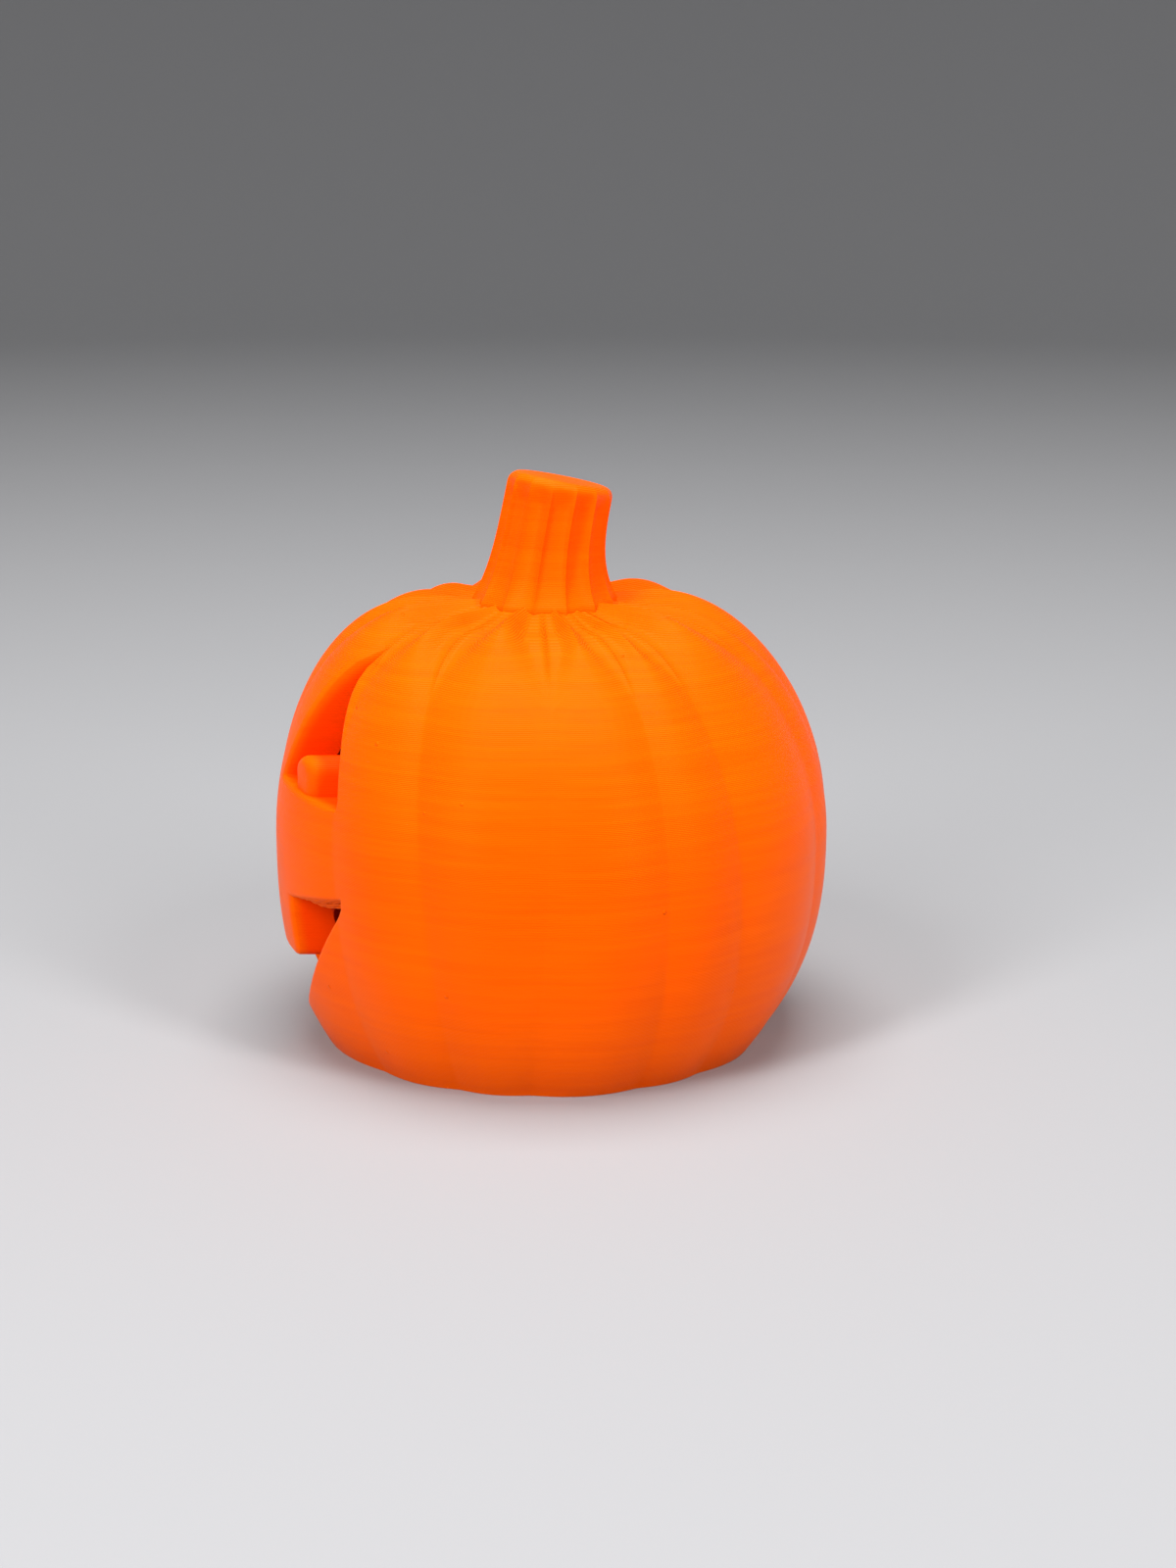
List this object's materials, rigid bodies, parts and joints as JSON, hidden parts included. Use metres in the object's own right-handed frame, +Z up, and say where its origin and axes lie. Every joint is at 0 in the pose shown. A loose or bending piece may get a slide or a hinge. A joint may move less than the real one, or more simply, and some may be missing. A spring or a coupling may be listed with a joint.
{
  "type": "carved plastic pumpkin lantern",
  "caption": "Small hollow jack-o'-lantern of orange plastic: ribbed body, leaning fluted stem, triangular eyes, toothed grin, and an open base for a tea light.",
  "frame": {"origin": "middle of the box at the foot ring, on the surface the lantern stands on", "axes": "+Z up along the standing axis, face toward -Y, stem leaning toward +Y"},
  "size_m": [0.0696, 0.0696, 0.071],
  "materials": {
    "orange_plastic": "semi-gloss, with fine level print lines"
  },
  "bodies": {
    "root": {"pumpkin": "orange_plastic"}
  },
  "joints": []
}
